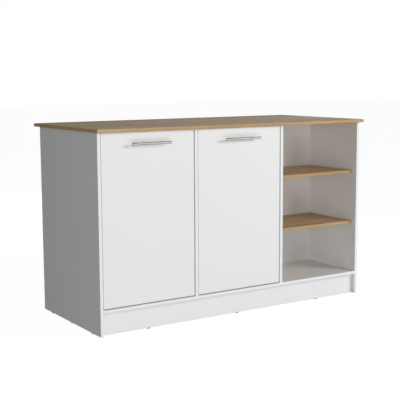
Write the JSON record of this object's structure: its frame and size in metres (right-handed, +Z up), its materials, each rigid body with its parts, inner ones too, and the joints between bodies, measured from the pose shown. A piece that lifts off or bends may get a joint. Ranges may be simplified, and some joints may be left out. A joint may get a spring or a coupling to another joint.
{
  "type": "kitchen island unit",
  "caption": "White kitchen island with an oak-coloured worktop, inset hinged doors with bar handles, an open shelved bay at the right and a knee space behind.",
  "frame": {"origin": "on the floor, in the middle of the unit's whole footprint, handles included", "axes": "+X to the right along the worktop, +Y to the rear, +Z up; the doors face -Y"},
  "size_m": [1.49, 0.684, 0.9],
  "materials": {
    "oak_laminate": "satin oak-pattern laminate, grain along the length",
    "oak_edge_band": "satin oak-pattern plastic edge band",
    "white_melamine": "white melamine-faced board, satin with a very fine pebble",
    "white_edge_band": "white plastic edge band, satin",
    "handle_metal": "brushed, bright satin",
    "hinge_steel": "nickel-plated pressed steel",
    "screw_steel": "zinc-plated",
    "lock_zinc": "cast zinc, dull",
    "bracket_steel": "zinc-plated pressed steel",
    "pin_steel": "nickel-plated",
    "dowel_wood": "plain turned beech",
    "white_plastic": "moulded, fine texture",
    "bumper_rubber": "soft, translucent grey",
    "glide_plastic": "dark grey moulded"
  },
  "bodies": {
    "carcass": {"worktop": "oak_laminate", "worktop_edge_bands": "oak_edge_band", "left_side_panel": "white_melamine", "right_side_panel": "white_melamine", "left_partition": "white_melamine", "right_partition": "white_melamine", "deck": "white_melamine", "kick_board": "white_melamine", "back_board": "white_melamine", "carcass_edge_bands": "white_edge_band", "upper_open_shelf": "oak_laminate", "lower_open_shelf": "oak_laminate", "open_shelf_edge_bands": "oak_edge_band", "left_cabinet_shelf": "white_melamine", "right_cabinet_shelf": "white_melamine", "shelf_pins": "pin_steel", "hinge_arms": "hinge_steel", "hinge_arm_screws": "screw_steel", "hinge_plates": "hinge_steel", "hinge_plate_screws": "screw_steel", "door_stops": "white_plastic", "door_bumpers": "bumper_rubber", "door_stop_screws": "screw_steel", "cam_locks": "lock_zinc", "cam_bolts": "screw_steel", "dowels": "dowel_wood", "assembly_screws": "screw_steel", "screw_caps": "white_plastic", "kick_blocks": "white_plastic", "kick_block_screws": "screw_steel", "worktop_brackets": "bracket_steel", "worktop_bracket_screws": "screw_steel", "glides": "glide_plastic", "glide_nails": "screw_steel"},
    "left_door": {"left_door": "white_melamine", "left_door_edge_bands": "white_edge_band", "left_handle_bar": "handle_metal", "left_handle_posts": "handle_metal", "left_handle_screws": "screw_steel", "left_hinge_cups": "hinge_steel", "left_hinge_pins": "pin_steel", "left_cup_screws": "screw_steel"},
    "right_door": {"right_door": "white_melamine", "right_door_edge_bands": "white_edge_band", "right_handle_bar": "handle_metal", "right_handle_posts": "handle_metal", "right_handle_screws": "screw_steel", "right_hinge_cups": "hinge_steel", "right_hinge_pins": "pin_steel", "right_cup_screws": "screw_steel"}
  },
  "joints": [
    {"name": "left_door_hinge", "type": "hinge", "parent": "carcass", "child": "left_door", "pos_m": [-0.703, -0.3015, 0.5], "axis": [0, 0, -1], "range_deg": [0, 95]},
    {"name": "right_door_hinge", "type": "hinge", "parent": "carcass", "child": "right_door", "pos_m": [-0.217, -0.3015, 0.5], "axis": [0, 0, -1], "range_deg": [0, 95]}
  ]
}
